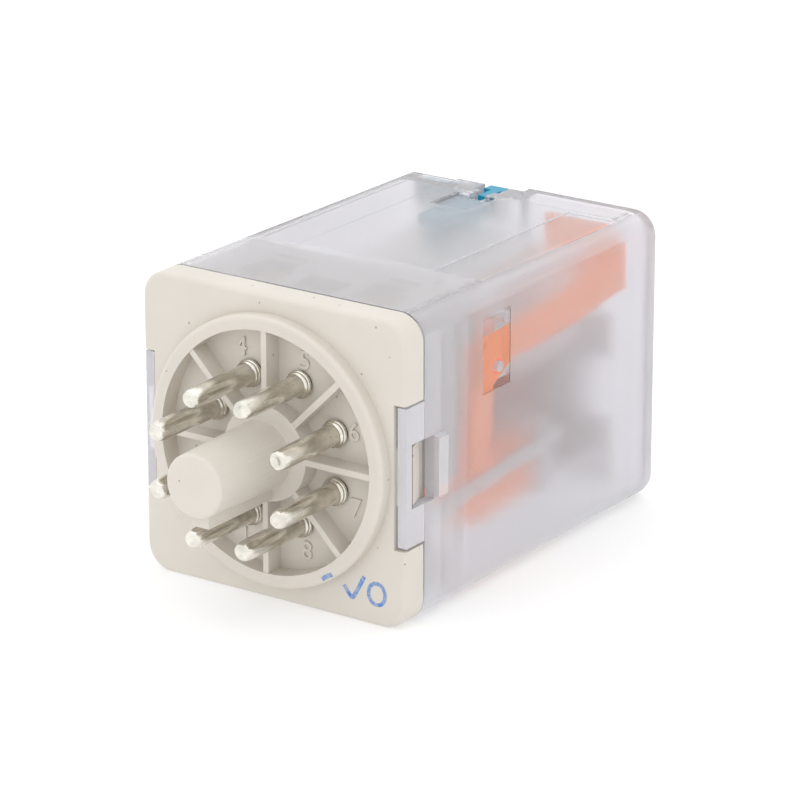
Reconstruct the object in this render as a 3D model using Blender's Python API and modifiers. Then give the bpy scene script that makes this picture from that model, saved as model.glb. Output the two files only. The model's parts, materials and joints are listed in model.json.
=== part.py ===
"""Plug-in relay: octal base, clear snap-on cover, two change-over contacts, indicator flag and test button.

The relay lies on one side of its cover. Its pins point along -Y, and its lettered end faces +Y.
Shapes are laid out in millimetres in the relay's own frame: X to the right, Z up, both from the pin
axis, and Y from the seam between base and cover. One empty carries that frame to the row frame, whose
origin is the centre of the bounding box's bottom.
"""

import math

import bmesh
import bpy
from mathutils import Matrix, Vector

MM = 0.001
GAP = 0.3  # between pieces that touch on the real relay
REACH = 1.0  # how far a cutter runs past the face that it opens

# Cover: a square box of tapered walls, open towards the base.
HALF = 17.6  # half the side of the base plate and of the cover's rim
HALF_FAR = 17.3  # half the side of the cover's far end
WALL = 1.25
CORNER_R = 3.0
SEAM_Y = 0.3  # the cover's rim
FAR_Y = 48.4  # far face of the right half
STEP_Y = 46.1  # far face of the left half
STEP_X = 0.2  # the step between the two halves
CAVITY_LEFT_Y = 43.5

# Octal plug.
PLATE_FRONT_Y = -3.4
RING_FRONT_Y = -5.0
RING_R = 15.6
RING_INNER_R = 14.0
POCKET_FLOOR_Y = -2.55
INNER_FLOOR_Y = 2.6
PIN_COUNT = 8
PIN_CIRCLE_R = 17.45 / 2
PIN_R = 1.18
PIN_HOLE_R = 1.45
PIN_TIP_Y = -13.8
PIN_TAIL_Y = 3.4
SPIGOT_TIP_Y = -17.8
SPIGOT_R = 3.95
KEY_HALF_WIDTH = 1.15

# Snap joint between cover and base, the same on the left and the right side.
TAB_HALF = 8.0
TAB_INNER_X = 16.4
TAB_END_Y = -3.1
WINDOW_HALF = 3.7
WINDOW_Y = (-2.1, 2.1)
LOOP_X = 18.25
LOOP_Y = (2.1, 3.9)

# Contact system.
POLES = (("left", -7.5), ("right", 7.5))
BLADE_Y = 8.65
BLADE_HALF_WIDTH = 1.9
CHAMBER_HALF_WIDTH = 2.9
CHAMBERS_X = (-7.2, 0.7, 8.2)
BLADE_ROOT_Z = 12.0
BLADE_TIP_Z = -10.6
CONTACT_Z = -2.0
RIVET_HEAD_R = 1.4
RIVET_SHANK_R = 0.6
RIVET_HOLE_R = 0.85
NC_Y = (10.7, 11.2)
NO_Y = (5.1, 5.6)

# Magnet system. The armature, lifter and flag are drawn with the armature closed.
HINGE_Y = 20.0
HINGE_Z = 10.55
OPEN_DEG = 5.0  # the armature's angle at rest
COIL_Y = 33.5
COIL_R = 8.6
WINDING_Z = (-9.9, 7.0)
POLE_TOP_Z = 10.45
ARMATURE_T = 1.4
ARMATURE_END_Y = 38.0
YOKE_T = 1.8

# Indicator flag.
FLAG_PIVOT = (16.5, 7.2)  # Y, Z
FLAG_X = (14.2, 15.5)
PEG_R = 0.62

# Test button and lock lever.
BUTTON_X = (-4.9, -2.0)
NECK_X = (-3.9, -2.6)
BLADE_OF_BUTTON_X = (-5.9, -2.55)
NOTCH_FLOOR_Z = 12.6
NECK_SLOT_Y = 40.8
HEAD_POCKET_Y = 43.6
LOCK_AXIS = (-7.9, 45.6)  # X, Y
LOCK_Z = (12.2, 16.3)
LOCK_T = 1.1

# Row frame: the bounding box's bottom centre.
FRAME_ORIGIN = (0.0, -(FAR_Y + SPIGOT_TIP_Y) / 2, HALF)

# name: (colour, roughness, metallic, alpha)
MATERIALS = {
    "base_plastic": ((0.78, 0.74, 0.67, 1.0), 0.45, 0.0, 1.0),
    "clear_plastic": ((0.86, 0.85, 0.9, 1.0), 0.3, 0.0, 0.35),
    "pin_metal": ((0.72, 0.7, 0.62, 1.0), 0.25, 1.0, 1.0),
    "orange_plastic": ((0.95, 0.3, 0.06, 1.0), 0.4, 0.0, 1.0),
    "teal_plastic": ((0.02, 0.3, 0.38, 1.0), 0.4, 0.0, 1.0),
    "bobbin_plastic": ((0.86, 0.84, 0.78, 1.0), 0.5, 0.0, 1.0),
    "winding": ((0.36, 0.13, 0.07, 1.0), 0.4, 0.3, 1.0),
    "plated_steel": ((0.62, 0.6, 0.56, 1.0), 0.35, 1.0, 1.0),
    "contact_bronze": ((0.7, 0.52, 0.33, 1.0), 0.35, 1.0, 1.0),
    "contact_silver": ((0.82, 0.81, 0.79, 1.0), 0.3, 1.0, 1.0),
}


def clear_scene():
    for obj in list(bpy.data.objects):
        bpy.data.objects.remove(obj)


def new_collection(name):
    collection = bpy.data.collections.new(name)
    bpy.context.scene.collection.children.link(collection)
    return collection


def make_materials():
    made = {}
    for name, (colour, roughness, metallic, alpha) in MATERIALS.items():
        material = bpy.data.materials.new(name)
        material.use_nodes = True
        shader = material.node_tree.nodes["Principled BSDF"]
        shader.inputs["Base Color"].default_value = colour
        shader.inputs["Roughness"].default_value = roughness
        shader.inputs["Metallic"].default_value = metallic
        shader.inputs["Alpha"].default_value = alpha
        made[name] = material
    return made


clear_scene()
PARTS = new_collection("plug_in_relay")
CUTTERS = new_collection("cutters")
MATERIAL = make_materials()
FRAME = bpy.data.objects.new("relay_frame", None)
PARTS.objects.link(FRAME)
FRAME.location = Vector(FRAME_ORIGIN) * MM


# ---------------------------------------------------------------- shapes


def link(name, mesh, origin=(0, 0, 0), parent=None):
    """A new object of a mesh in metres, at a point in millimetres of its parent's frame."""
    obj = bpy.data.objects.new(name, mesh)
    PARTS.objects.link(obj)
    obj.parent = parent or FRAME
    obj.location = Vector(origin) * MM
    return obj


def from_bmesh(name, bm, origin=(0, 0, 0), parent=None):
    """A new object of a bmesh in millimetres of its parent's frame, with its origin at a point of it."""
    bmesh.ops.translate(bm, vec=-Vector(origin), verts=bm.verts)
    bmesh.ops.scale(bm, vec=(MM, MM, MM), verts=bm.verts)
    bmesh.ops.recalc_face_normals(bm, faces=bm.faces)
    mesh = bpy.data.meshes.new(name)
    bm.to_mesh(mesh)
    bm.free()
    return link(name, mesh, origin, parent)


def add_box(bm, x, y, z):
    """Adds a box between two limits on each axis."""
    low = Vector((x[0], y[0], z[0]))
    high = Vector((x[1], y[1], z[1]))
    verts = bmesh.ops.create_cube(bm, size=1.0)["verts"]
    for vert in verts:
        vert.co = [low[i] + (vert.co[i] + 0.5) * (high[i] - low[i]) for i in range(3)]
    return verts


def bevel(bm, edges, radius, segments):
    bmesh.ops.bevel(
        bm,
        geom=edges,
        offset=radius,
        offset_type="OFFSET",
        segments=segments,
        profile=0.5,
        affect="EDGES",
        clamp_overlap=True,
    )


def box(name, x, y, z, origin=(0, 0, 0), parent=None):
    bm = bmesh.new()
    add_box(bm, x, y, z)
    return from_bmesh(name, bm, origin, parent)


def square_tube(name, half, y, corner, far_half=None, end_radius=0.0, front_radius=0.0, segments=8):
    """A square block along Y with rounded long edges. It may taper on all sides but the lower one."""
    bm = bmesh.new()
    far_half = half if far_half is None else far_half
    add_box(bm, (-half, half), y, (-half, half))
    for vert in bm.verts:
        if vert.co.y > sum(y) / 2:
            vert.co.x *= far_half / half
            vert.co.z *= far_half / half if vert.co.z > 0 else 1.0
    along = [e for e in bm.edges if abs((e.verts[0].co - e.verts[1].co).y) > 1e-6]
    bevel(bm, along, corner, segments)
    for radius, level in ((front_radius, y[0]), (end_radius, y[1])):
        if radius:
            edges = [e for e in bm.edges if all(abs(v.co.y - level) < 1e-5 for v in e.verts)]
            bevel(bm, edges, radius, 3)
    return from_bmesh(name, bm)


def cylinder(name, radius, ends, axis="Y", centre=(0, 0), segments=24, origin=(0, 0, 0), parent=None):
    """A cylinder between two limits on its axis. centre holds the other two coordinates, in X, Y, Z order."""
    bm = bmesh.new()
    depth = ends[1] - ends[0]
    bmesh.ops.create_cone(
        bm, cap_ends=True, segments=segments, radius1=radius, radius2=radius, depth=depth
    )
    turn = {
        "X": Matrix.Rotation(math.pi / 2, 3, "Y"),
        "Y": Matrix.Rotation(math.pi / 2, 3, "X"),
        "Z": Matrix.Identity(3),
    }[axis]
    bmesh.ops.rotate(bm, matrix=turn, verts=bm.verts)
    place = list(centre)
    place.insert("XYZ".index(axis), sum(ends) / 2)
    bmesh.ops.translate(bm, vec=place, verts=bm.verts)
    return from_bmesh(name, bm, origin, parent)


def baked(obj, turn=None):
    """obj as a plain mesh object: modifiers or curve evaluated, caps welded, and turned if asked."""
    bpy.context.view_layer.update()
    graph = bpy.context.evaluated_depsgraph_get()
    mesh = bpy.data.meshes.new_from_object(obj.evaluated_get(graph))
    name, location, parent = obj.name, obj.location.copy(), obj.parent
    if turn is not None:
        mesh.transform(turn)
    bm = bmesh.new()
    bm.from_mesh(mesh)
    bmesh.ops.remove_doubles(bm, verts=bm.verts, dist=1e-7)
    bmesh.ops.recalc_face_normals(bm, faces=bm.faces)
    bm.to_mesh(mesh)
    bm.free()
    bpy.data.objects.remove(obj)
    made = link(name, mesh, location / MM, parent)
    return made


def turned(name, profile, centre=(0, 0), segments=24, parent=None):
    """A solid turned about an axis along Y. profile lists (radius, y), starting and ending on the axis."""
    rows = sorted_outward(profile)
    mesh = bpy.data.meshes.new(name)
    mesh.from_pydata(
        [(r * MM, 0, -y * MM) for r, y in rows], [(i, i + 1) for i in range(len(rows) - 1)], []
    )
    obj = link(name, mesh, (centre[0], 0, centre[1]), parent)
    screw = obj.modifiers.new("turn", "SCREW")
    screw.axis = "Z"
    screw.steps = segments
    screw.render_steps = segments
    screw.use_merge_vertices = True
    screw.merge_threshold = 1e-6
    return baked(obj, Matrix.Rotation(math.pi / 2, 4, "X"))


def sorted_outward(profile):
    """The profile from the low-Y end of the axis to the high-Y end, which is top to bottom on the screw's axis."""
    return profile if profile[0][1] < profile[-1][1] else profile[::-1]


def side_plate(name, outline, x, origin=(0, 0, 0), parent=None):
    """A flat plate seen from the side: its outline lists (y, z), and x gives its two faces."""
    curve = bpy.data.curves.new(name, "CURVE")
    curve.dimensions = "2D"
    curve.fill_mode = "BOTH"
    curve.extrude = (x[1] - x[0]) / 2 * MM
    spline = curve.splines.new("POLY")
    spline.points.add(len(outline) - 1)
    for point, (y, z) in zip(spline.points, outline):
        point.co = ((y - origin[1]) * MM, (z - origin[2]) * MM, 0, 1)
    spline.use_cyclic_u = True
    obj = link(name, curve, origin, parent)
    side = Matrix.Rotation(math.pi / 2, 4, "Z") @ Matrix.Rotation(math.pi / 2, 4, "X")
    shift = Matrix.Translation(((sum(x) / 2 - origin[0]) * MM, 0, 0))
    return baked(obj, shift @ side)


def arc(centre, radius, start, end, count):
    """Points on an arc, from angle start to angle end in degrees."""
    angles = [math.radians(start + (end - start) * i / (count - 1)) for i in range(count)]
    return [(centre[0] + radius * math.cos(a), centre[1] + radius * math.sin(a)) for a in angles]


def combine(target, tool, operation):
    """Cuts tool from target or joins it to target. The tool stays as a hidden helper."""
    modifier = target.modifiers.new(tool.name, "BOOLEAN")
    modifier.operation = operation
    modifier.solver = "EXACT"
    modifier.object = tool
    tool.hide_render = True
    tool.display_type = "WIRE"
    PARTS.objects.unlink(tool)
    CUTTERS.objects.link(tool)


def cut(target, *tools):
    for tool in tools:
        combine(target, tool, "DIFFERENCE")


def join(target, *tools):
    for tool in tools:
        combine(target, tool, "UNION")


def paint(obj, material):
    obj.data.materials.clear()
    obj.data.materials.append(MATERIAL[material])
    obj.data.shade_smooth()
    obj.data.set_sharp_from_angle(angle=math.radians(35))
    return obj


def about_y(point, degrees):
    """A point (x, z) carried round the pin axis, clockwise as seen from the pins."""
    a = math.radians(degrees)
    return (
        point[0] * math.cos(a) + point[1] * math.sin(a),
        point[1] * math.cos(a) - point[0] * math.sin(a),
    )


def pin_place(number):
    """(x, z) of a pin. The key points down, with pin 1 at its left and the count running clockwise."""
    step = 360 / PIN_COUNT
    return about_y((0, PIN_CIRCLE_R), 180 + step * (number - 0.5))


# ---------------------------------------------------------------- base and plug


def make_base():
    base = square_tube(
        "base", HALF, (PLATE_FRONT_Y, 0.0), CORNER_R, front_radius=0.5
    )
    join(
        base,
        square_tube("base_inner_slab", 15.9, (-0.6, INNER_FLOOR_Y), 2.2, segments=4),
        turned("base_ring", ring_profile(), segments=72),
    )
    cut(base, cylinder("base_pocket", RING_INNER_R, (RING_FRONT_Y - REACH, POCKET_FLOOR_Y), segments=72))
    join(base, turned("spigot", spigot_profile(), segments=40))
    for number in range(PIN_COUNT):
        join(base, make_rib(number))
    key_z = (-SPIGOT_R - 1.05, -SPIGOT_R + 1.0)
    join(base, box("key", (-KEY_HALF_WIDTH, KEY_HALF_WIDTH), (SPIGOT_TIP_Y + 1.2, -4.0), key_z))
    add_inner_walls(base)
    for number in range(1, PIN_COUNT + 1):
        hole = cylinder(
            f"pin_hole_{number}",
            PIN_HOLE_R,
            (POCKET_FLOOR_Y - REACH, INNER_FLOOR_Y + REACH),
            centre=pin_place(number),
        )
        cut(base, hole)
    add_snap_hooks(base)
    return paint(base, "base_plastic")


def spigot_profile():
    """The guide post with its rounded nose, on a wider boss that the ribs run into."""
    nose = [(3.25, SPIGOT_TIP_Y), (3.45, SPIGOT_TIP_Y + 0.06), (3.6, SPIGOT_TIP_Y + 0.2), (3.66, SPIGOT_TIP_Y + 0.4)]
    front, root = RING_FRONT_Y, POCKET_FLOOR_Y + 0.2
    boss = [(SPIGOT_R, front - 0.5), (4.1, front - 0.2), (5.3, front - 0.1), (5.5, front + 0.1), (5.5, root)]
    return [(0, SPIGOT_TIP_Y), *nose, *boss, (0, root)]


def ring_profile():
    """The disc that becomes the ring, with a rounded front edge."""
    edge = [(RING_R - 0.5 + x, RING_FRONT_Y + 0.5 - y) for x, y in arc((0, 0), 0.5, 90, 0, 4)]
    root = PLATE_FRONT_Y + 0.4
    return [(0, RING_FRONT_Y), *edge, (RING_R, root), (0, root)]


def make_rib(number):
    """One of the ribs between neighbouring pins, from the boss to the ring."""
    bm = bmesh.new()
    add_box(bm, (-0.35, 0.35), (RING_FRONT_Y + 0.1, POCKET_FLOOR_Y + 0.2), (4.6, RING_INNER_R + 0.4))
    turn = Matrix.Rotation(math.radians(360 / PIN_COUNT * number), 3, "Y")
    bmesh.ops.rotate(bm, matrix=turn, verts=bm.verts)
    return from_bmesh(f"rib_{number}", bm)


def add_inner_walls(base):
    """The walls inside the cover that hold the contact strips."""
    foot = INNER_FLOOR_Y - 0.4
    join(
        base,
        box("top_comb", (-15.5, 15.5), (foot, 14.4), (11.3, 15.8)),
        box("bottom_wall", (-14.4, 14.4), (foot, 8.0), (-15.8, -12.6)),
        box("side_wall_left", (-15.8, -13.7), (foot, 8.0), (-3.0, 12.0)),
        box("side_wall_right", (13.7, 15.8), (foot, 8.0), (-3.0, 12.0)),
    )
    for number, x in enumerate(CHAMBERS_X):
        gap_x = (x - CHAMBER_HALF_WIDTH, x + CHAMBER_HALF_WIDTH)
        cut(base, box(f"comb_gap_{number}", gap_x, (INNER_FLOOR_Y, 7.0), (11.0, 17.0)))
    cut(base, box("comb_corner", (10.6, 16.0), (11.9, 16.0), (11.0, 17.0)))
    for side, x in POLES:
        wide = (x - BLADE_HALF_WIDTH - GAP, x + BLADE_HALF_WIDTH + GAP)
        cut(
            base,
            box(f"common_slot_{side}", wide, (7.8, 9.4), (11.0, 17.0)),
            box(f"common_tunnel_{side}", wide, (6.0, 8.4), (13.4, 17.0)),
            box(f"nc_slot_{side}", wide, (NC_Y[0] - GAP, NC_Y[1] + GAP), (11.0, 17.0)),
        )


def add_snap_hooks(base):
    """A recess in each side for the cover's tab, and in it the hook that the tab's window drops over."""
    for side, sign in (("left", -1), ("right", 1)):
        recess_x = sorted((sign * (TAB_INNER_X - GAP), sign * (HALF + REACH)))
        recess = (recess_x, (PLATE_FRONT_Y - REACH, REACH), (-TAB_HALF - GAP, TAB_HALF + GAP))
        cut(base, box(f"recess_{side}", *recess))
        join(base, make_hook(side, sign))
        pad_x = sorted((sign * 15.6, sign * (TAB_INNER_X - 0.12)))
        join(base, box(f"tab_pad_{side}", pad_x, (-2.9, -2.0), (-3.3, 3.3)))


def make_hook(side, sign):
    """The hook is a wedge: steep towards the pins, sloping towards the cover."""
    bm = bmesh.new()
    x = sorted((sign * 15.5, sign * 17.45))
    add_box(bm, x, (-1.7, 0.8), (-WINDOW_HALF + 0.4, WINDOW_HALF - 0.4))
    for vert in bm.verts:
        if abs(vert.co.x) > 16 and vert.co.y > 0:
            vert.co.x = sign * 16.5
    return from_bmesh(f"hook_{side}", bm)


def make_pin(number):
    """A plated pin with a rounded tip and a rolled collar against the base."""
    tip = [(0, PIN_TIP_Y), (0.55, PIN_TIP_Y), (0.92, PIN_TIP_Y + 0.2), (1.1, PIN_TIP_Y + 0.55)]
    collar = [
        (PIN_R, PIN_TIP_Y + 1.0),
        (PIN_R, POCKET_FLOOR_Y - 0.95),
        (1.3, POCKET_FLOOR_Y - 0.75),
        (1.58, POCKET_FLOOR_Y - 0.6),
        (1.62, POCKET_FLOOR_Y - 0.35),
        (1.55, POCKET_FLOOR_Y - 0.15),
        (PIN_R, POCKET_FLOOR_Y - 0.15),
    ]
    tail = [(PIN_R, PIN_TAIL_Y - 0.2), (0.95, PIN_TAIL_Y), (0, PIN_TAIL_Y)]
    pin = turned(f"pin_{number}", tip + collar + tail, pin_place(number), 20)
    return paint(pin, "pin_metal")


# ---------------------------------------------------------------- cover


def make_cover():
    cover = square_tube(
        "cover", HALF, (SEAM_Y, FAR_Y), CORNER_R, far_half=HALF_FAR, end_radius=1.0, segments=12
    )
    inner = HALF - WALL
    inner_far = HALF_FAR - WALL
    outside = HALF + REACH
    cut(
        cover,
        box("end_step", (-outside, STEP_X), (STEP_Y, FAR_Y + REACH), (-outside, outside)),
        square_tube("cavity", inner, (-REACH, CAVITY_LEFT_Y), CORNER_R - WALL, far_half=inner_far, segments=12),
        make_right_cavity(inner_far - 0.05),
    )
    for side, sign in (("left", -1), ("right", 1)):
        tab_x = sorted((sign * TAB_INNER_X, sign * (HALF - 0.05)))
        join(cover, box(f"tab_{side}", tab_x, (TAB_END_Y, 3.0), (-TAB_HALF, TAB_HALF)))
        window_x = sorted((sign * 15.0, sign * outside))
        cut(cover, box(f"window_{side}", window_x, WINDOW_Y, (-WINDOW_HALF, WINDOW_HALF)))
        join(cover, make_loop(side, sign))
    cut(
        cover,
        box(
            "neck_slot",
            (NECK_X[0] - GAP, NECK_X[1] + GAP),
            (NECK_SLOT_Y, STEP_Y + REACH),
            (NOTCH_FLOOR_Z, outside),
        ),
        box(
            "head_pocket",
            (BUTTON_X[0] - GAP, BUTTON_X[1] + GAP),
            (HEAD_POCKET_Y, STEP_Y + REACH),
            (NOTCH_FLOOR_Z, outside),
        ),
        box("lock_pocket", (-14.0, -7.0), (STEP_Y - 1.3, STEP_Y + REACH), (LOCK_Z[0] - 0.3, LOCK_Z[1] + 0.3)),
        cylinder("trunnion_seat", 0.6, (LOCK_Z[0] - 0.9, LOCK_Z[1] + 0.6), "Z", LOCK_AXIS, 16),
    )
    cut(
        cover,
        top_recess("top_left_panel", (-HALF - REACH, -9.0), (13.0, FAR_Y + REACH), 0.2),
        top_recess("top_right_panel", (9.0, HALF + REACH), (14.4, 42.3), 0.16),
        top_recess("button_channel", (-6.2, -0.7), (36.0, 41.7), 0.3),
        box("side_window", (side_face_x(17.1) - 0.08, HALF + REACH), (11.6, 17.1), (5.4, 13.9)),
    )
    return paint(cover, "clear_plastic")


def side_face_x(y):
    """How far out the cover's side wall is at a distance from the seam. The top face is as high."""
    return HALF - (HALF - HALF_FAR) * (y - SEAM_Y) / (FAR_Y - SEAM_Y)


def top_recess(name, x, y, depth):
    """A shallow step in the top face, parallel to it."""
    bm = bmesh.new()
    add_box(bm, x, y, (0, HALF + REACH))
    for vert in bm.verts:
        if vert.co.z < 1:
            vert.co.z = side_face_x(vert.co.y) - depth
    return from_bmesh(name, bm)


def make_loop(side, sign):
    """The bar that closes a window's far side. It stands proud of the wall, with slanted ends."""
    bm = bmesh.new()
    x = sorted((sign * (TAB_INNER_X + 0.3), sign * LOOP_X))
    add_box(bm, x, LOOP_Y, (-WINDOW_HALF - 0.2, WINDOW_HALF + 0.2))
    for vert in bm.verts:
        if abs(vert.co.x) > HALF:
            vert.co.z *= 0.86
    return from_bmesh(f"loop_{side}", bm)


def make_right_cavity(half):
    """The deeper end of the cavity, behind the raised right half of the far face."""
    bm = bmesh.new()
    add_box(bm, (STEP_X + WALL, half), (CAVITY_LEFT_Y - REACH, FAR_Y - WALL), (WALL - HALF, half))
    outer = [
        e for e in bm.edges
        if abs((e.verts[0].co - e.verts[1].co).y) > 1e-6 and e.verts[0].co.x > half - 1e-6
    ]
    bevel(bm, outer, CORNER_R - WALL, 8)
    return from_bmesh("right_cavity", bm)


# ---------------------------------------------------------------- contacts


def make_rivet(name, x, heads, blade_y, parent=None):
    """A contact rivet along Y: two heads on a shank through the strip. heads are the outer faces."""
    low, high = heads
    near, far = blade_y[0] - 0.1, blade_y[1] + 0.1
    profile = [
        (0, low),
        (RIVET_HEAD_R - 0.3, low),
        (RIVET_HEAD_R, low + 0.25),
        (RIVET_HEAD_R, near),
        (RIVET_SHANK_R, near),
        (RIVET_SHANK_R, far),
        (RIVET_HEAD_R, far),
        (RIVET_HEAD_R, high - 0.25),
        (RIVET_HEAD_R - 0.3, high),
        (0, high),
    ]
    return paint(turned(name, profile, (x, CONTACT_Z), 16, parent), "contact_silver")


def strip(name, outline, x):
    """A contact strip: a bent plate seen from the side, centred on its pole, with the rivet's hole."""
    half = BLADE_HALF_WIDTH
    plate = side_plate(name, outline, (x - half, x + half))
    cut(plate, cylinder(f"{name}_hole", RIVET_HOLE_R, (0, 20), centre=(x, CONTACT_Z), segments=16))
    return paint(plate, "contact_bronze")


def make_contacts(side, x):
    """The three strips of one change-over contact, with a rivet each."""
    blade_y = (BLADE_Y - 0.15, BLADE_Y + 0.15)
    origin = (x, BLADE_Y, BLADE_ROOT_Z)
    blade = box(
        f"moving_blade_{side}",
        (x - BLADE_HALF_WIDTH, x + BLADE_HALF_WIDTH),
        blade_y,
        (BLADE_TIP_Z, BLADE_ROOT_Z),
        origin,
    )
    cut(blade, cylinder(f"blade_hole_{side}", RIVET_HOLE_R, (5, 12), centre=(x, CONTACT_Z), segments=16))
    paint(blade, "contact_bronze")
    make_rivet(f"moving_contact_{side}", x, (7.75, 9.55), blade_y)

    common = side_plate(
        f"common_strip_{side}",
        [(8.4, 12.35), (9.0, 12.35), (9.0, 14.6), (3.0, 14.6), (3.0, 14.1), (8.4, 14.1)],
        (x - BLADE_HALF_WIDTH, x + BLADE_HALF_WIDTH),
    )
    paint(common, "contact_bronze")

    nc_bottom = CONTACT_Z - 1.8
    strip(
        f"nc_strip_{side}",
        [(NC_Y[0], nc_bottom), (NC_Y[1], nc_bottom), (NC_Y[1], 14.6), (NC_Y[0], 14.6)],
        x,
    )
    make_rivet(f"nc_contact_{side}", x, (9.7, 11.6), NC_Y)

    foot_y = INNER_FLOOR_Y + GAP
    strip(
        f"no_strip_{side}",
        [(NO_Y[0], -4.0), (NO_Y[1], -4.0), (NO_Y[1], 1.4), (foot_y, 1.4), (foot_y, 0.9), (NO_Y[0], 0.9)],
        x,
    )
    make_rivet(f"no_contact_{side}", x, (4.7, 6.4), NO_Y)


# ---------------------------------------------------------------- magnet


def make_yoke():
    """The L-shaped iron frame: a leg that carries the armature's hinge, and a plate under the coil."""
    front, end = HINGE_Y, ARMATURE_END_Y + 1.0
    foot = -13.4
    outline = [
        (front, HINGE_Z - 0.15),
        (front, foot),
        (end, foot),
        (end, foot + YOKE_T),
        (front + YOKE_T, foot + YOKE_T),
        (front + YOKE_T, HINGE_Z - 0.15),
    ]
    yoke = side_plate("yoke", outline, (-8.2, 8.2))
    cut(yoke, cylinder("core_seat", 2.7, (foot - REACH, foot + YOKE_T + REACH), "Z", (0, COIL_Y), 24))
    join(yoke, box("spring_lug", (-12.0, -8.0), (front, front + 1.0), (-6.0, -4.6)))
    return paint(yoke, "plated_steel")


def make_core():
    """The coil's iron core, with a wide pole face and a riveted foot."""
    core = cylinder("core", 3.8, (-11.4, POLE_TOP_Z - 1.0), "Z", (0, COIL_Y), 28)
    join(
        core,
        cylinder("pole_face", 6.2, (POLE_TOP_Z - 1.6, POLE_TOP_Z), "Z", (0, COIL_Y), 28),
        cylinder("core_foot", 2.4, (-13.3, -11.0), "Z", (0, COIL_Y), 24),
    )
    return paint(core, "plated_steel")


def make_bobbin():
    """The coil former: a tube with two flanges, the bracket of the flag's pivot and a terminal post."""
    low, high = WINDING_Z
    flange = (COIL_Y - COIL_R - 0.6, COIL_Y + COIL_R + 0.6)
    bobbin = cylinder("coil_bobbin", 5.4, (low - 0.5, high + 0.5), "Z", (0, COIL_Y), 28)
    join(
        bobbin,
        box("flange_low", (-9.2, 9.2), flange, (low - 1.4, low - 0.2)),
        box("apron", (-12.8, 12.8), (28.0, COIL_Y + COIL_R + 0.6), (low - 1.4, low - 0.2)),
        box("flange_high", (-9.2, 9.2), flange, (high + 0.2, high + 1.4)),
        box("pivot_bracket", (8.6, 12.2), (14.0, COIL_Y + 4.0), (high - 3.4, high + 1.3)),
        box("pivot_plate", (11.0, 12.4), (12.6, 20.6), (3.4, 13.4)),
        cylinder("knob", 0.7, (12.0, 15.5), "X", (18.5, 12.4), 16),
        cylinder("pivot_peg", PEG_R, (11.8, 15.9), "X", FLAG_PIVOT, 20),
        box("post_right", (8.6, 14.3), (26.6, 29.6), (low - 1.3, -3.0)),
        box("post_left", (-14.3, -8.6), (26.6, 29.6), (low - 1.3, -3.0)),
    )
    join(bobbin, box("end_board", (-15.2, 13.6), (42.45, 43.2), (-14.8, 5.9)))
    cut(bobbin, box("board_notch", (10.4, 16.0), (41.0, 44.0), (-7.0, 0.5)))
    cut(bobbin, box("face_notch", (5.4, 9.6), (41.6, 43.6), (high + 0.1, high + 1.6)))
    cut(bobbin, cylinder("bobbin_bore", 4.1, (-20, 20), "Z", (0, COIL_Y), 28))
    return paint(bobbin, "bobbin_plastic")


def make_winding():
    winding = cylinder("coil_winding", COIL_R, WINDING_Z, "Z", (0, COIL_Y), 40)
    cut(winding, cylinder("winding_bore", 5.7, (-20, 20), "Z", (0, COIL_Y), 28))
    return paint(winding, "winding")


def hinge_frame():
    """The empty on the armature's hinge. At rest it holds the armature open."""
    hinge = bpy.data.objects.new("armature_hinge", None)
    PARTS.objects.link(hinge)
    hinge.parent = FRAME
    hinge.location = Vector((0, HINGE_Y, HINGE_Z)) * MM
    hinge.rotation_euler = (math.radians(OPEN_DEG), 0, 0)
    return hinge


def from_hinge(y, z):
    """A point of the closed armature, given in the relay's frame, from its hinge."""
    return (y - HINGE_Y, z - HINGE_Z)


def make_armature(hinge):
    """An L of iron: a plate over the pole and a leg in front of the yoke."""
    top, under = HINGE_Z + 0.05 + ARMATURE_T, HINGE_Z + 0.05
    leg_front, leg_back, leg_end = 16.9, 18.3, -5.4
    outline = [
        (leg_front, leg_end),
        (leg_back, leg_end),
        (leg_back, under),
        (ARMATURE_END_Y, under),
        (ARMATURE_END_Y, top),
        (leg_front + 0.8, top),
        (leg_front, top - 0.8),
    ]
    armature = side_plate("armature", [from_hinge(*p) for p in outline], (-8.0, 8.0), parent=hinge)
    ear_y, ear_z = from_hinge(leg_front, under)
    join(armature, box("spring_ear", (-12.0, -7.6), (ear_y, ear_y + 1.4), (ear_z, ear_z + 1.2), parent=hinge))
    return paint(armature, "plated_steel")


def make_lifter(hinge):
    """The orange card on the armature's leg: two noses push the moving blades, an ear drives the flag."""
    def part(name, x, y, z):
        low, high = from_hinge(y[0], z[0]), from_hinge(y[1], z[1])
        return box(name, x, (low[0], high[0]), (low[1], high[1]), parent=hinge)

    lifter = part("contact_lifter", (-9.2, 9.2), (15.4, 18.4), (-7.6, -2.6))
    join(lifter, part("lifter_side", (8.7, 12.6), (12.6, 17.0), (-9.6, -5.2)))
    join(lifter, part("lifter_card", (-12.6, 12.6), (9.9, 16.0), (-9.6, -7.0)))
    for side, x in POLES:
        join(lifter, part(f"lifter_nose_{side}", (x - 1.6, x + 1.6), (7.3, 10.5), (-9.1, -7.7)))
    join(lifter, part("ear_root", (9.0, 12.6), (13.6, 16.4), (-6.0, -3.0)))
    join(lifter, part("flag_ear", (9.0, 15.4), (13.6, 15.1), (-4.0, -3.0)))
    join(lifter, part("lifter_skirt", (9.8, 12.8), (13.6, 24.2), (-11.4, -4.6)))
    cut(lifter, part("leg_pocket", (-8.2, 8.2), (16.7, 19.5), (-5.7, 0.0)))
    return paint(lifter, "orange_plastic")


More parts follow.
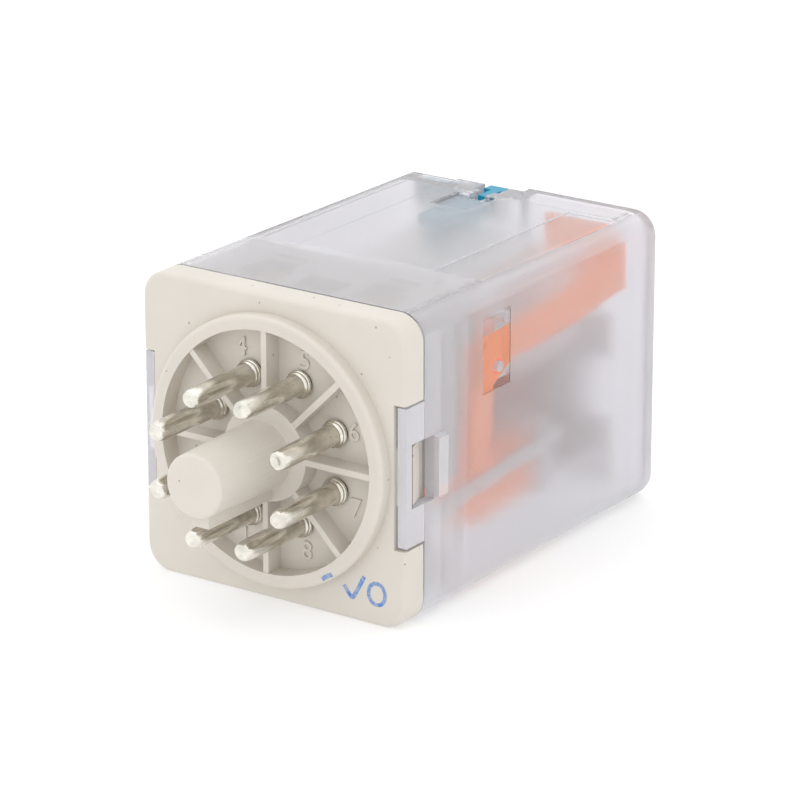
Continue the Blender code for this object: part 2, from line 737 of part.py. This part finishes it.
def make_return_spring():
    """The tension spring between the armature's ear and the yoke's lug."""
    wire_r, coil_r, turns, per_turn = 0.25, 1.2, 9, 12
    x, y = -11.0, 18.7
    top, bottom = 9.3, -3.9
    curve = bpy.data.curves.new("return_spring", "CURVE")
    curve.dimensions = "3D"
    curve.bevel_depth = wire_r * MM
    curve.bevel_resolution = 2
    curve.use_fill_caps = True
    spline = curve.splines.new("POLY")
    count = turns * per_turn + 1
    spline.points.add(count - 1)
    for i, point in enumerate(spline.points):
        angle = 2 * math.pi * i / per_turn
        height = bottom + (top - bottom) * i / (count - 1)
        place = Vector((x + coil_r * math.cos(angle), y + coil_r * math.sin(angle), height)) * MM
        point.co = (*place, 1)
    spring = baked(link("return_spring", curve))
    return paint(spring, "plated_steel")


def make_coil_terminal(side, sign):
    """The strip from a coil pin along the side wall to the bobbin's terminal post."""
    front = INNER_FLOOR_Y + GAP
    x = sorted((sign * 14.6, sign * 15.1))
    terminal = side_plate(f"coil_terminal_{side}", [(front, -7.9), (30.2, -5.4), (30.2, -3.6), (front, -6.0)], x)
    foot_x = sorted((sign * 10.2, sign * 14.8))
    join(terminal, box(f"terminal_foot_{side}", foot_x, (front, front + 0.5), (-7.7, -6.2)))
    return paint(terminal, "plated_steel")


# ---------------------------------------------------------------- indicator, button and lock


def make_flag_lever():
    """The orange bell crank: a long arm to the flag behind the far face, and a short arm to the lifter."""
    pivot_y, pivot_z = FLAG_PIVOT
    outline = [
        (41.8, 12.4),
        (29.4, 11.6),
        (21.1, 10.8),
        (17.0, 10.5),
        *arc((15.1, 9.1), 1.4, 100, 180, 4),
        (13.2, 6.2),
        (11.8, 4.2),
        (11.4, 1.0),
        (11.4, -4.2),
        (14.0, -4.2),
        (14.3, -3.0),
        (15.4, 0.2),
        (15.7, 5.2),
        (19.4, 7.3),
        (26.0, 7.5),
        (33.6, 8.1),
        (41.0, 9.2),
        (42.9, 9.2),
        (42.9, 14.6),
        (42.0, 14.6),
    ]
    origin = (sum(FLAG_X) / 2, pivot_y, pivot_z)
    lever = side_plate("flag_lever", outline[::-1], FLAG_X, origin)
    join(lever, box("flag_face", (5.8, 14.3), (41.95, 42.85), (9.25, 15.6), origin=origin))
    cut(lever, cylinder("flag_bore", PEG_R + 0.3, (13, 17), "X", FLAG_PIVOT, 20, origin=origin))
    return paint(lever, "orange_plastic")


def make_test_button():
    """The teal button: a head in the cover's notch and a blade whose wedge presses the armature down."""
    blade_top = 15.7
    outline = [
        (33.2, blade_top),
        (33.2, 14.4),
        (33.8, 14.05),
        (37.9, 14.05),
        (39.6, 12.3),
        (41.4, 12.95),
        (43.0, 12.95),
        (43.0, blade_top),
    ]
    button = side_plate("test_button", outline, BLADE_OF_BUTTON_X)
    join(
        button,
        box("button_neck", NECK_X, (42.6, 46.0), (12.95, 17.0)),
        box("button_head", BUTTON_X, (45.4, 46.9), (12.95, 17.0)),
    )
    return paint(button, "teal_plastic")


def make_lock_lever():
    """The teal lever in the far face: a flap on two trunnions, which turns out to lock the button."""
    x, y = LOCK_AXIS
    half_t = LOCK_T / 2
    origin = (x, y, 0)
    lever = cylinder("lock_lever", half_t, LOCK_Z, "Z", LOCK_AXIS, 20, origin)
    join(
        lever,
        box(
            "lock_flap",
            (-13.6, x),
            (y - half_t + 0.02, y + half_t - 0.02),
            (LOCK_Z[0] + 0.05, LOCK_Z[1] - 0.05),
            origin,
        ),
        cylinder("trunnions", 0.33, (LOCK_Z[0] - 0.7, LOCK_Z[1] + 0.4), "Z", LOCK_AXIS, 12, origin),
    )
    return paint(lever, "teal_plastic")


def main():
    make_base()
    for number in range(1, PIN_COUNT + 1):
        make_pin(number)
    make_cover()
    for side, x in POLES:
        make_contacts(side, x)
    make_yoke()
    make_core()
    make_bobbin()
    make_winding()
    hinge = hinge_frame()
    make_armature(hinge)
    make_lifter(hinge)
    make_return_spring()
    for side, sign in (("left", -1), ("right", 1)):
        make_coil_terminal(side, sign)
    make_flag_lever()
    make_test_button()
    make_lock_lever()


main()
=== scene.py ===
import json
import math
import random

import bmesh
import bpy
from mathutils import Matrix, Vector


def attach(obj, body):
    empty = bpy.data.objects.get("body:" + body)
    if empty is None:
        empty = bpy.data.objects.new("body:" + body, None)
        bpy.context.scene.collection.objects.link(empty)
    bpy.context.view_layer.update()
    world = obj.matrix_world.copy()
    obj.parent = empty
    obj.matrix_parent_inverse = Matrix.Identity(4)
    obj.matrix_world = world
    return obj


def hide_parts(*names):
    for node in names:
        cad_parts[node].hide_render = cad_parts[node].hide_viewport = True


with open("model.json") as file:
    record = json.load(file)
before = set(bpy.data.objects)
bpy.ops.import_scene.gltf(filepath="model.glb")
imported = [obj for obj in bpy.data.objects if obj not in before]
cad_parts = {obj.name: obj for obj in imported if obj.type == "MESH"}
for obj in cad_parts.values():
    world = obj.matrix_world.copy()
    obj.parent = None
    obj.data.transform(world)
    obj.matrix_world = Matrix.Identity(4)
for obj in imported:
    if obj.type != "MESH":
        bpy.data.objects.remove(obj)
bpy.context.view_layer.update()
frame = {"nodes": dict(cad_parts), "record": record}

MM = 0.001

# The relay's own frame in the row frame: X and Z from the pin axis, Y from the seam of the cover.
HALF = 17.6
SEAM = Vector((0.0, -15.3, HALF))


def place(x, y, z):
    """A point of the relay's own frame, in millimetres, in the row frame, in metres."""
    return (Vector((x, y, z)) + SEAM) * MM


# ---------------------------------------------------------------- materials

# Scales of the noises, in waves per metre, from broad stains to the finest grain.
STAINS = 180.0
BLOTCHES = 700.0
FROST = 1500.0
SMUDGES = 2200.0
DRAWN_LINES = 2500.0
GRAIN = 9000.0


def new_material(name, colour, roughness, metallic=0.0):
    """A material with its node tree and its shader."""
    material = bpy.data.materials.new(name)
    material.use_nodes = True
    shader = material.node_tree.nodes["Principled BSDF"]
    shader.inputs["Base Color"].default_value = (*colour, 1.0)
    shader.inputs["Roughness"].default_value = roughness
    shader.inputs["Metallic"].default_value = metallic
    return material, material.node_tree, shader


def noise(tree, scale, detail=2.0, stretch=(1.0, 1.0, 1.0)):
    """A noise over the object's own coordinates, in waves per metre."""
    coords = tree.nodes.new("ShaderNodeTexCoord")
    mapping = tree.nodes.new("ShaderNodeMapping")
    mapping.inputs["Scale"].default_value = stretch
    texture = tree.nodes.new("ShaderNodeTexNoise")
    texture.inputs["Scale"].default_value = scale
    texture.inputs["Detail"].default_value = detail
    tree.links.new(coords.outputs["Object"], mapping.inputs["Vector"])
    tree.links.new(mapping.outputs["Vector"], texture.inputs["Vector"])
    return texture.outputs["Fac"]


def spread(tree, value, low, high, name):
    """value, from about 0.3 to 0.7, mapped between low and high."""
    node = tree.nodes.new("ShaderNodeMapRange")
    node.label = name
    node.inputs["From Min"].default_value = 0.3
    node.inputs["From Max"].default_value = 0.7
    node.inputs["To Min"].default_value = low
    node.inputs["To Max"].default_value = high
    tree.links.new(value, node.inputs["Value"])
    return node.outputs["Result"]


def tint(tree, value, dark, light):
    """A colour between dark and light, where value goes from about 0.3 to 0.7."""
    ramp = tree.nodes.new("ShaderNodeValToRGB")
    ramp.color_ramp.elements[0].position = 0.3
    ramp.color_ramp.elements[0].color = (*dark, 1.0)
    ramp.color_ramp.elements[1].position = 0.7
    ramp.color_ramp.elements[1].color = (*light, 1.0)
    tree.links.new(value, ramp.inputs["Fac"])
    return ramp.outputs["Color"]


def bump(tree, shader, value, depth):
    """Bump of a depth in metres."""
    node = tree.nodes.new("ShaderNodeBump")
    node.inputs["Strength"].default_value = 1.0
    node.inputs["Distance"].default_value = depth
    tree.links.new(value, node.inputs["Height"])
    tree.links.new(node.outputs["Normal"], shader.inputs["Normal"])


SPECK_CELLS = 520.0
SPECK_SIZE = 0.075
SPECK_SHARE = 0.3


def specked(tree, colour, speck_colour):
    """A colour socket with a few small specks, as dust and scuffs leave on pale plastic."""
    coords = tree.nodes.new("ShaderNodeTexCoord")
    cells = tree.nodes.new("ShaderNodeTexVoronoi")
    cells.inputs["Scale"].default_value = SPECK_CELLS
    tree.links.new(coords.outputs["Object"], cells.inputs["Vector"])
    near = tree.nodes.new("ShaderNodeMath")
    near.operation = "LESS_THAN"
    near.inputs[1].default_value = SPECK_SIZE
    tree.links.new(cells.outputs["Distance"], near.inputs[0])
    shade = tree.nodes.new("ShaderNodeSeparateXYZ")
    tree.links.new(cells.outputs["Color"], shade.inputs["Vector"])
    few = tree.nodes.new("ShaderNodeMath")
    few.operation = "LESS_THAN"
    few.inputs[1].default_value = SPECK_SHARE
    tree.links.new(shade.outputs["X"], few.inputs[0])
    both = tree.nodes.new("ShaderNodeMath")
    both.operation = "MULTIPLY"
    tree.links.new(near.outputs["Value"], both.inputs[0])
    tree.links.new(few.outputs["Value"], both.inputs[1])
    mix = tree.nodes.new("ShaderNodeMix")
    mix.data_type = "RGBA"
    tree.links.new(both.outputs["Value"], mix.inputs["Factor"])
    tree.links.new(colour, mix.inputs["A"])
    mix.inputs["B"].default_value = (*speck_colour, 1.0)
    return mix.outputs["Result"]


def moulded(name, colour, roughness, grain=0.00001, specks=False, painted_glow=0.0):
    """Moulded plastic: a fine eroded grain, and slightly uneven colour and gloss. A glow above zero is
    painted light: an emission in the plastic's own colour, though the part is no lamp.
    """
    material, tree, shader = new_material(name, colour, roughness)
    cloud = noise(tree, STAINS)
    darker = tuple(c * 0.955 for c in colour)
    mottled = tint(tree, cloud, darker, colour)
    if specks:
        mottled = specked(tree, mottled, tuple(c * 0.55 for c in colour))
    tree.links.new(mottled, shader.inputs["Base Color"])
    fine = noise(tree, GRAIN, 3.0)
    gloss = spread(tree, fine, roughness - 0.05, roughness + 0.05, "gloss")
    tree.links.new(gloss, shader.inputs["Roughness"])
    bump(tree, shader, fine, grain)
    # Painted light: the part glows in its own colour though it is no lamp.
    shader.inputs["Emission Color"].default_value = (*colour, 1.0)
    shader.inputs["Emission Strength"].default_value = painted_glow
    return material


def plated(name, colour, roughness, stretch=(1.0, 1.0, 1.0), depth=0.000004, fade=0.86):
    """Plated or rolled metal with fine drawn lines."""
    material, tree, shader = new_material(name, colour, roughness, 1.0)
    lines = noise(tree, DRAWN_LINES, 4.0, stretch)
    darker = tuple(c * fade for c in colour)
    tree.links.new(tint(tree, noise(tree, BLOTCHES, 4.0), darker, colour), shader.inputs["Base Color"])
    gloss = spread(tree, lines, roughness - 0.06, roughness + 0.1, "gloss")
    tree.links.new(gloss, shader.inputs["Roughness"])
    bump(tree, shader, lines, depth)
    return material


def inked(name, ink, under):
    """Blue ink that took unevenly on the plastic under it."""
    material, tree, shader = new_material(name, ink, 0.4)
    pale = tuple(0.45 * i + 0.55 * u for i, u in zip(ink, under))
    tree.links.new(tint(tree, noise(tree, SMUDGES, 3.0), pale, ink), shader.inputs["Base Color"])
    return material


def inside(tree, position, low, high):
    """1 where a position lies in a box given in metres, with nothing painted outside it."""
    centre = (Vector(low) + Vector(high)) / 2
    half = (Vector(high) - Vector(low)) / 2
    offset = tree.nodes.new("ShaderNodeVectorMath")
    offset.operation = "SUBTRACT"
    offset.inputs[1].default_value = centre
    tree.links.new(position, offset.inputs[0])
    size = tree.nodes.new("ShaderNodeVectorMath")
    size.operation = "ABSOLUTE"
    tree.links.new(offset.outputs["Vector"], size.inputs[0])
    axes = tree.nodes.new("ShaderNodeSeparateXYZ")
    tree.links.new(size.outputs["Vector"], axes.inputs["Vector"])
    result = None
    for axis, limit in zip("XYZ", half):
        test = tree.nodes.new("ShaderNodeMath")
        test.operation = "LESS_THAN"
        test.inputs[1].default_value = limit
        tree.links.new(axes.outputs[axis], test.inputs[0])
        if result is None:
            result = test.outputs["Value"]
            continue
        both = tree.nodes.new("ShaderNodeMath")
        both.operation = "MULTIPLY"
        tree.links.new(result, both.inputs[0])
        tree.links.new(test.outputs["Value"], both.inputs[1])
        result = both.outputs["Value"]
    return result


def chosen(tree, mask, off, on):
    """off, a socket or a number, where the mask is 0, and the number on where it is 1."""
    node = tree.nodes.new("ShaderNodeMix")
    node.data_type = "FLOAT"
    tree.links.new(mask, node.inputs["Factor"])
    if isinstance(off, float):
        node.inputs["A"].default_value = off
    else:
        tree.links.new(off, node.inputs["A"])
    node.inputs["B"].default_value = on
    return node.outputs["Result"]


COVER_TINT = (0.88, 0.868, 0.905)
FROSTING = 0.38
HAZE = 0.11
# Planes past every outer face of the cover, and planes between its inner and its outer faces.
OUTSIDE = 18.4
PAST_FAR_FACE = 48.6
BEHIND_WALL = 16.7
BEHIND_TOP = 16.9


def other_side(low, high):
    """The box on the left side that mirrors one on the right."""
    return (-high[0], *low[1:]), (-low[0], *high[1:])


def finishes():
    """Boxes of the relay's own frame with their roughness and haze. A later box goes over an earlier one."""
    made = [
        # The inner faces.
        ((-BEHIND_WALL, 0.0, -BEHIND_WALL), (BEHIND_WALL, 44.2, BEHIND_WALL), 0.15, 0.0),
        ((0.8, 40.0, -BEHIND_WALL), (BEHIND_WALL, 47.7, BEHIND_WALL), 0.15, 0.0),
    ]
    # The right wall gets paler towards the seam.
    for end_y, haze in ((8.6, 0.17), (6.0, 0.24), (3.4, 0.34)):
        made.append(((15.0, 0.3, -OUTSIDE), (OUTSIDE, end_y, 15.4), 0.38, haze))
    made += [
        # The top face, its front stretch, its right panel and the button's channel.
        ((-OUTSIDE, 0.2, BEHIND_TOP), (OUTSIDE, PAST_FAR_FACE, OUTSIDE), 0.2, 0.1),
        ((-OUTSIDE, 0.2, BEHIND_TOP), (OUTSIDE, 14.6, OUTSIDE), 0.24, 0.2),
        ((9.0, 14.4, 16.0), (15.6, 42.3, OUTSIDE), 0.16, 0.06),
        ((-6.2, 36.0, 16.0), (-0.7, 41.7, OUTSIDE), 0.14, 0.03),
        # The clear window in the right wall.
        ((15.0, 11.6, 5.4), (OUTSIDE, 17.1, 14.3), 0.03, 0.0),
    ]
    # The tab and the loop of each clasp.
    for low, high, roughness, haze in (
        ((15.0, -3.6, -8.3), (18.8, 0.3, 8.3), 0.24, 0.5),
        ((17.65, 0.3, -8.3), (18.8, 4.1, 8.3), 0.16, 0.45),
    ):
        made += [(low, high, roughness, haze), (*other_side(low, high), roughness, haze)]
    made += [
        # The long top edges and the far right one.
        ((15.4, 0.5, 15.4), (OUTSIDE, PAST_FAR_FACE, OUTSIDE), 0.5, 0.22),
        ((15.4, 46.4, -OUTSIDE), (OUTSIDE, PAST_FAR_FACE, 15.4), 0.5, 0.35),
        ((-OUTSIDE, 0.5, 15.6), (-15.6, 46.2, OUTSIDE), 0.5, 0.3),
        # The material round the button's notch.
        ((-7.6, 42.8, 12.0), (0.4, 46.4, OUTSIDE), 0.4, 0.2),
        # The step at the right panel's edge.
        ((8.95, 14.2, 17.1), (9.04, 42.5, 18.0), 0.5, 0.8),
    ]
    return made


def cover_plastic():
    """Polycarbonate, frosted outside and smoother inside, with places of another finish."""
    material, tree, shader = new_material("cover_polycarbonate", COVER_TINT, 0.3)
    shader.inputs["IOR"].default_value = 1.585
    coords = tree.nodes.new("ShaderNodeTexCoord")
    fine = noise(tree, FROST, 3.0)
    roughness = spread(tree, fine, FROSTING * 0.92, FROSTING * 1.08, "frosting")
    transmission = 1.0 - HAZE
    for low, high, polish, haze in finishes():
        patch = inside(tree, coords.outputs["Object"], place(*low), place(*high))
        roughness = chosen(tree, patch, roughness, polish)
        transmission = chosen(tree, patch, transmission, 1.0 - haze)
    tree.links.new(roughness, shader.inputs["Roughness"])
    tree.links.new(transmission, shader.inputs["Transmission Weight"])
    return material


BASE_COLOUR = (0.665, 0.622, 0.56)
BASE_PLASTIC = moulded("moulded_base", BASE_COLOUR, 0.42, 0.000012, specks=True)
COVER_PLASTIC = cover_plastic()
PIN_METAL = plated("nickel_plate", (0.86, 0.83, 0.755), 0.2, (1.0, 0.16, 1.0), 0.000015, 0.76)
# Painted light: the orange, teal and bobbin mouldings glow, which brightens them where they are seen through
# the cover.
ORANGE = moulded("orange_moulding", (1.0, 0.225, 0.0), 0.42, painted_glow=0.31)
TEAL = moulded("teal_moulding", (0.0, 0.21, 0.33), 0.4, painted_glow=0.3)
BOBBIN = moulded("bobbin_moulding", (0.84, 0.81, 0.8), 0.5, painted_glow=0.06)
WIRE = plated("enamelled_wire", (0.42, 0.1, 0.03), 0.35, (1.0, 1.0, 20.0))
STEEL = plated("plated_steel", (0.78, 0.76, 0.72), 0.38)
BRONZE = plated("contact_bronze", (0.72, 0.52, 0.33), 0.35)
SILVER = plated("contact_silver", (0.85, 0.84, 0.82), 0.3)
INK = inked("stamp_ink", (0.05, 0.2, 0.56), BASE_COLOUR)

NODE_MATERIALS = {
    "base_plastic": BASE_PLASTIC,
    "clear_plastic": COVER_PLASTIC,
    "pin_metal": PIN_METAL,
    "orange_plastic": ORANGE,
    "teal_plastic": TEAL,
    "bobbin_plastic": BOBBIN,
    "winding": WIRE,
    "plated_steel": STEEL,
    "contact_bronze": BRONZE,
    "contact_silver": SILVER,
}
for part in frame["record"]["subparts"]:
    node = frame["nodes"][part["node"]]
    for material_slot in node.material_slots:
        material_slot.material = NODE_MATERIALS[part["material_slot"]]


# ---------------------------------------------------------------- pieces


def add_piece(name, bm, material, body, sharp_angle=35.0):
    """A piece from a bmesh in millimetres of the relay's own frame."""
    bmesh.ops.translate(bm, vec=SEAM, verts=bm.verts)
    bmesh.ops.scale(bm, vec=(MM, MM, MM), verts=bm.verts)
    bmesh.ops.recalc_face_normals(bm, faces=bm.faces)
    mesh = bpy.data.meshes.new(name)
    bm.to_mesh(mesh)
    bm.free()
    mesh.materials.append(material)
    mesh.shade_smooth()
    mesh.set_sharp_from_angle(angle=math.radians(sharp_angle))
    piece = bpy.data.objects.new(name, mesh)
    bpy.context.scene.collection.objects.link(piece)
    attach(piece, body)
    return piece


def turned_rings(bm, rows, segments, shape=None):
    """Rings about an axis along Y from (radius, y) rows, with a fan at each end. shape scales a radius."""
    rings = []
    for radius, y in rows:
        ring = []
        for i in range(segments):
            angle = 2 * math.pi * i / segments
            r = radius * (shape(angle, y) if shape else 1.0)
            ring.append(bm.verts.new((r * math.cos(angle), y, r * math.sin(angle))))
        rings.append(ring)
    for near, far in zip(rings, rings[1:]):
        for i in range(segments):
            j = (i + 1) % segments
            bm.faces.new((near[i], near[j], far[j], far[i]))
    for ring in (rings[0], rings[-1]):
        middle = bm.verts.new((0, ring[0].co.y, 0))
        for i in range(segments):
            bm.faces.new((ring[i], ring[(i + 1) % segments], middle))


PIN_CIRCLE_R = 17.45 / 2
PIN_R = 1.18
PIN_TIP_Y = -13.8
FLOOR_Y = -2.55
COLLAR_LENGTH = 1.4
CRIMP_LENGTH = 7.5
FLUTE_DEPTH = 0.055
CREASE_COUNT = 5
CREASE_WIDTH = 0.25
CREASE_LENGTH = 0.8


def pin_place(number):
    """(x, z) of a pin: pin 1 is at the left of the key, and the count runs clockwise."""
    angle = math.radians(180 + 45 * (number - 0.5))
    return PIN_CIRCLE_R * math.sin(angle), PIN_CIRCLE_R * math.cos(angle)


def pin_rows():
    """The pin's outline from its crimped tip, over the rolled collar, to the tail inside the base."""
    tip = [
        (0.2, 0.16), (0.42, 0.1), (0.66, 0.02), (0.84, 0.0),
        (0.98, 0.09), (1.07, 0.28), (1.13, 0.6), (1.17, 1.0),
    ]
    shaft = [(PIN_R, 1.4 + 0.7 * i) for i in range(13)]
    rows = [(r, PIN_TIP_Y + y) for r, y in tip + shaft]
    collar = [
        (1.19, -1.3), (1.25, -1.12), (1.4, -1.02), (1.5, -0.92), (1.52, -0.82), (1.46, -0.74),
        (1.46, -0.7), (1.56, -0.64), (1.62, -0.54), (1.62, -0.4), (1.56, -0.28), (1.5, -0.2),
        (1.3, -0.16), (PIN_R, -0.16), (PIN_R, 5.7), (0.9, 5.9),
    ]
    free = [row for row in rows if row[1] < FLOOR_Y - COLLAR_LENGTH]
    return free + [(r, FLOOR_Y + y) for r, y in collar]


def make_pin(number):
    """A tubular pin whose tip is crimped on its wire: flutes and creases fade out along the shaft."""
    rng = random.Random(40 + number)
    turn = rng.uniform(0, 2 * math.pi)
    creases = []
    for _ in range(CREASE_COUNT):
        creases.append((rng.uniform(0, 2 * math.pi), rng.uniform(0.4, 1.6), rng.uniform(0.05, 0.1)))

    def shape(angle, y):
        from_tip = y - PIN_TIP_Y
        fade = max(0.0, 1.0 - from_tip / CRIMP_LENGTH)
        flute = 0.5 + 0.5 * math.cos(2 * angle + turn)
        dent = 0.0
        for at, along, depth in creases:
            across = math.remainder(angle - at, 2 * math.pi) / CREASE_WIDTH
            dent += depth * math.exp(-across * across - ((from_tip - along) / CREASE_LENGTH) ** 2)
        return 1.0 - FLUTE_DEPTH * fade * flute - dent

    bm = bmesh.new()
    turned_rings(bm, pin_rows(), 48, shape)
    x, z = pin_place(number)
    bmesh.ops.translate(bm, vec=(x, 0, z), verts=bm.verts)
    pin = add_piece(f"plated_pin_{number}", bm, PIN_METAL, "base", 50.0)
    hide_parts(f"pin_{number}")


COIL_Y = 33.5
COIL_LOW = -9.9
COIL_HIGH = 7.0
COIL_R = 8.6
COIL_CORE_R = 5.7
WIRE_PITCH = 0.26
WIRE_RELIEF = 0.11
ROWS_PER_TURN = 4


def winding_rows():
    """The coil's outside, one round bulge for each turn, between two slightly smaller end rows."""
    rows = [(COIL_R - 0.2, COIL_LOW)]
    for turn in range(int((COIL_HIGH - COIL_LOW) / WIRE_PITCH)):
        for row in range(ROWS_PER_TURN):
            part = (row + 0.5) / ROWS_PER_TURN
            relief = WIRE_RELIEF * (1 - math.sin(math.pi * part))
            rows.append((COIL_R - relief, COIL_LOW + WIRE_PITCH * (turn + part)))
    return rows + [(COIL_R - 0.2, COIL_HIGH)]


def make_winding():
    """Close turns of enamelled wire round the bobbin."""
    bm = bmesh.new()
    turned_rings(bm, winding_rows(), 48)
    caps = [v for v in bm.verts if v.co.x == 0 and v.co.z == 0]
    bmesh.ops.delete(bm, geom=caps, context="VERTS")
    ends = [e for e in bm.edges if e.is_boundary]
    made = bmesh.ops.extrude_edge_only(bm, edges=ends)["geom"]
    for vert in (g for g in made if isinstance(g, bmesh.types.BMVert)):
        scale = COIL_CORE_R / math.hypot(vert.co.x, vert.co.z)
        vert.co.x *= scale
        vert.co.z *= scale
    bmesh.ops.bridge_loops(bm, edges=[e for e in bm.edges if e.is_boundary])
    bmesh.ops.rotate(bm, matrix=Matrix.Rotation(math.radians(90), 3, "X"), verts=bm.verts)
    bmesh.ops.translate(bm, vec=(0, COIL_Y, 0), verts=bm.verts)
    winding = add_piece("wound_wire", bm, WIRE, "base", 80.0)
    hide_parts("coil_winding")


NUMERAL_PLACES = {
    1: (-4.4, -11.3), 2: (-10.6, -4.9), 3: (-10.4, 3.8), 4: (-4.6, 10.8),
    5: (3.9, 10.7), 6: (10.4, 3.8), 7: (10.6, -4.9), 8: (4.0, -11.3),
}
NUMERAL_SIZE = 3.0
NUMERAL_RELIEF = 0.2
NUMERAL_EDGE = 0.03


def make_numerals():
    """The pin numbers, raised on the floor of the ring."""
    for number, (x, z) in NUMERAL_PLACES.items():
        font = bpy.data.curves.new(f"numeral_{number}", "FONT")
        font.body = str(number)
        font.align_x = "CENTER"
        font.align_y = "CENTER"
        font.size = NUMERAL_SIZE * MM
        font.extrude = NUMERAL_RELIEF * MM
        font.bevel_depth = NUMERAL_EDGE * MM
        font.bevel_resolution = 1
        numeral = bpy.data.objects.new(f"numeral_{number}", font)
        bpy.context.scene.collection.objects.link(numeral)
        graph = bpy.context.evaluated_depsgraph_get()
        mesh = bpy.data.meshes.new_from_object(numeral.evaluated_get(graph))
        bpy.data.objects.remove(numeral)
        lean = Matrix.Rotation(math.radians(90), 4, "X")
        mesh.transform(Matrix.Translation(place(x, FLOOR_Y, z)) @ lean)
        mesh.materials.append(BASE_PLASTIC)
        piece = bpy.data.objects.new(f"numeral_{number}", mesh)
        bpy.context.scene.collection.objects.link(piece)
        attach(piece, "base")


PLATE_FRONT_Y = -3.4
RING_FRONT_Y = -5.0
INK_LIFT = 0.012
STROKE = 0.5
TICK = [(9.5, -13.7), (10.6, -15.2), (12.2, -12.2)]
SMEAR = [(7.7, -13.0), (8.3, -12.5), (9.0, -12.15)]
LOOP_CENTRE = (13.85, -13.9)
LOOP_SIZE = (1.1, 1.25)
LOOP_STROKE = 0.45


def ribbon(bm, points, width, y):
    """A flat stroke of a width along (x, z) points, standing just off a face at y."""
    sides = []
    for i, (x, z) in enumerate(points):
        before = Vector(points[max(i - 1, 0)])
        after = Vector(points[min(i + 1, len(points) - 1)])
        along = (after - before).normalized()
        across = Vector((-along.y, along.x)) * width / 2
        sides.append([bm.verts.new((x + s * across.x, y - INK_LIFT, z + s * across.y)) for s in (-1, 1)])
    for near, far in zip(sides, sides[1:]):
        bm.faces.new((near[0], near[1], far[1], far[0]))


def rounded(points, steps=6):
    """Points of a smooth stroke through a polyline's corners."""
    made = [points[0]]
    for a, b, c in zip(points, points[1:], points[2:]):
        start = [(p + q * 3) / 4 for p, q in zip(a, b)]
        end = [(q * 3 + r) / 4 for q, r in zip(b, c)]
        for i in range(steps + 1):
            t = i / steps
            ends = zip(start, b, end)
            made.append(tuple((1 - t) ** 2 * s + 2 * t * (1 - t) * q + t * t * e for s, q, e in ends))
    return made + [points[-1]]


def make_ink():
    """A plain tick and ring, hand stamped in blue, and the smear that it left on the ring of the base."""
    bm = bmesh.new()
    ribbon(bm, rounded(TICK), STROKE, PLATE_FRONT_Y)
    loop = []
    for i in range(25):
        angle = i * math.pi / 12
        x = LOOP_CENTRE[0] + LOOP_SIZE[0] * math.sin(angle)
        z = LOOP_CENTRE[1] + LOOP_SIZE[1] * math.cos(angle)
        loop.append((x, z))
    ribbon(bm, loop, LOOP_STROKE, PLATE_FRONT_Y)
    ribbon(bm, rounded(SMEAR), STROKE, RING_FRONT_Y)
    add_piece("stamped_ink", bm, INK, "base")


for pin_number in range(1, 9):
    make_pin(pin_number)
make_winding()
make_numerals()
make_ink()


# ---------------------------------------------------------------- studio

CAMERA_BACK = Vector((0.53735, -0.7762, 0.3298))
CAMERA_TARGET = place(0.71, 20.0, -0.87)
CAMERA_DISTANCE = 0.4979
CAMERA_LENS = 197.72

camera_data = bpy.data.cameras.new("camera")
camera_data.sensor_width = 36.0
camera_data.lens = CAMERA_LENS
camera_data.clip_start = 0.01
camera_data.clip_end = 10.0
camera = bpy.data.objects.new("camera", camera_data)
bpy.context.scene.collection.objects.link(camera)
camera.location = CAMERA_TARGET + CAMERA_BACK.normalized() * CAMERA_DISTANCE
camera.rotation_mode = "QUATERNION"
camera.rotation_quaternion = CAMERA_BACK.to_track_quat("Z", "Y")
bpy.context.scene.camera = camera


FLOOR_COLOUR = (0.6, 0.6, 0.6)
FLOOR_GLOW = 0.41
HORIZON_LIGHT = 1.02
ZENITH_LIGHT = 1.38


def make_floor():
    """A white table, lit a little from below."""
    bm = bmesh.new()
    bmesh.ops.create_grid(bm, x_segments=1, y_segments=1, size=3.0)
    mesh = bpy.data.meshes.new("floor")
    bm.to_mesh(mesh)
    bm.free()
    floor = bpy.data.objects.new("floor", mesh)
    bpy.context.scene.collection.objects.link(floor)
    material, _, shader = new_material("floor_paper", FLOOR_COLOUR, 0.9)
    shader.inputs["Emission Color"].default_value = (1.0, 1.0, 1.0, 1.0)
    shader.inputs["Emission Strength"].default_value = FLOOR_GLOW
    floor.data.materials.append(material)


def area_light(name, location, aim, side, power):
    """A square, soft lamp that points at aim."""
    data = bpy.data.lights.new(name, "AREA")
    data.shape = "SQUARE"
    data.size = side
    data.energy = power
    light = bpy.data.objects.new(name, data)
    bpy.context.scene.collection.objects.link(light)
    light.location = location
    light.rotation_mode = "QUATERNION"
    light.rotation_quaternion = (Vector(location) - Vector(aim)).to_track_quat("Z", "Y")


def make_world():
    """A white studio whose light grows from the horizon to the ceiling."""
    world = bpy.data.worlds.new("studio")
    world.use_nodes = True
    tree = world.node_tree
    background = tree.nodes["Background"]
    background.inputs["Color"].default_value = (1.0, 1.0, 1.0, 1.0)
    coords = tree.nodes.new("ShaderNodeTexCoord")
    axes = tree.nodes.new("ShaderNodeSeparateXYZ")
    tree.links.new(coords.outputs["Generated"], axes.inputs["Vector"])
    strength = tree.nodes.new("ShaderNodeMapRange")
    strength.inputs["To Min"].default_value = HORIZON_LIGHT
    strength.inputs["To Max"].default_value = ZENITH_LIGHT
    tree.links.new(axes.outputs["Z"], strength.inputs["Value"])
    tree.links.new(strength.outputs["Result"], background.inputs["Strength"])
    bpy.context.scene.world = world


make_floor()
make_world()
area_light("key", (-0.5, -0.9, 1.1), (0, 0, 0), 0.8, 0.8)
bpy.context.scene.view_settings.view_transform = "Standard"
